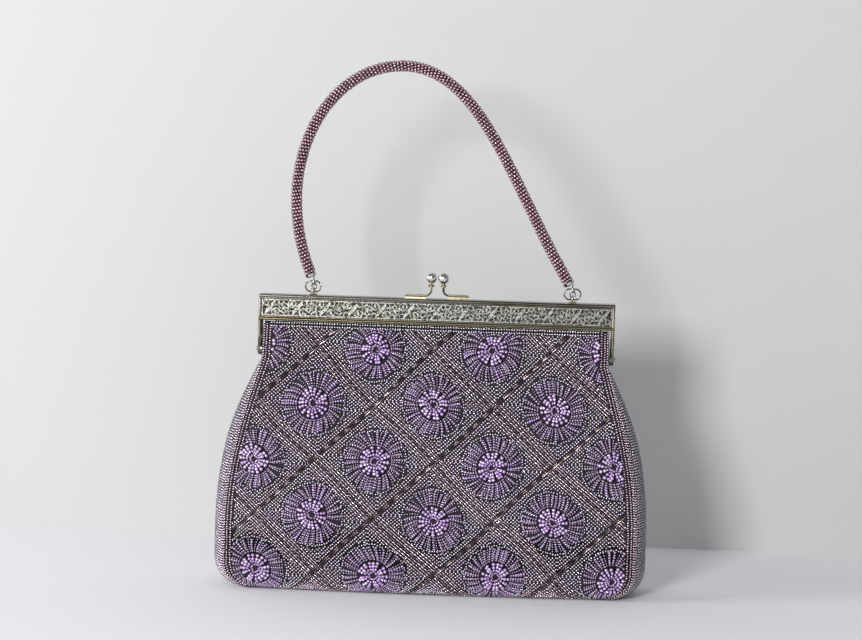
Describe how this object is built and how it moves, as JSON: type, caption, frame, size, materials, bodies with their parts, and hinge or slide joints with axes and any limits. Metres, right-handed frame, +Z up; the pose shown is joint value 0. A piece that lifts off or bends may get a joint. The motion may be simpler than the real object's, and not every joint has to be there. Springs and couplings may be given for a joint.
{
  "type": "kiss lock frame purse",
  "caption": "Beaded handbag with a hinged metal frame closed by two crossing balls, a flat base, and an arched beaded rope handle on jump rings.",
  "frame": {"origin": "on the floor under the middle of the bag's flat base", "axes": "+X along the frame to the viewer's right, -Y out of the front face, +Z up"},
  "size_m": [0.244, 0.062, 0.2974],
  "materials": {
    "beaded_fabric": "seed beads with a dark plum lustre sewn closely on cloth",
    "rope_beads": "dark burgundy lustre seed beads worked round a cord",
    "silver_plate": "aged silver plate, darkened in the recesses",
    "filigree": "pierced silver plate with dark ground between the scrolls",
    "clasp_metal": "worn silver plate with a pale gold tint",
    "clasp_ball": "polished silver plate",
    "ring_wire": "bright steel wire",
    "lining": "dark satin weave",
    "base_card": "plain grey-brown board",
    "cord": "twisted cotton cord"
  },
  "bodies": {
    "bag": {"front_panel": "beaded_fabric", "rear_panel": "beaded_fabric", "left_gusset": "beaded_fabric", "right_gusset": "beaded_fabric", "base_panel": "beaded_fabric", "base_card": "base_card", "lining": "lining", "front_fold": "beaded_fabric", "rear_fold": "beaded_fabric", "left_hinge_rivet": "silver_plate", "right_hinge_rivet": "silver_plate"},
    "front_half": {"front_frame": "silver_plate", "front_filigree": "filigree", "front_panel_top": "beaded_fabric", "front_lining_top": "lining", "front_channel_cord": "cord", "front_clasp_arm": "clasp_metal", "front_clasp_ball": "clasp_ball"},
    "rear_half": {"rear_frame": "silver_plate", "rear_filigree": "filigree", "rear_panel_top": "beaded_fabric", "rear_lining_top": "lining", "rear_channel_cord": "cord", "rear_clasp_arm": "clasp_metal", "rear_clasp_ball": "clasp_ball", "left_lug": "clasp_metal", "right_lug": "clasp_metal"},
    "rings": {"left_jump_rings": "ring_wire", "right_jump_rings": "ring_wire"},
    "handle": {"left_end_cap": "silver_plate", "right_end_cap": "silver_plate", "handle_core": "cord", "handle_beading": "rope_beads"}
  },
  "joints": [
    {"name": "front_half_hinge", "type": "hinge", "parent": "bag", "child": "front_half", "pos_m": [0, 0, 0.133], "axis": [1, 0, 0], "range_deg": [0, 45], "deforming": ["front_fold"]},
    {"name": "rear_half_hinge", "type": "hinge", "parent": "bag", "child": "rear_half", "pos_m": [0, 0, 0.133], "axis": [-1, 0, 0], "range_deg": [0, 45], "deforming": ["rear_fold"]},
    {"name": "rings_swing", "type": "hinge", "parent": "rear_half", "child": "rings", "pos_m": [0, 0.00325, 0.16625], "axis": [-1, 0, 0], "range_deg": [-45, 75]},
    {"name": "handle_swing", "type": "hinge", "parent": "rings", "child": "handle", "pos_m": [0, 0.00325, 0.17133], "axis": [-1, 0, 0], "range_deg": [-45, 50]}
  ],
  "couplings": [
    {"joint": "rear_half_hinge", "follows": "front_half_hinge", "ratio": 1}
  ]
}
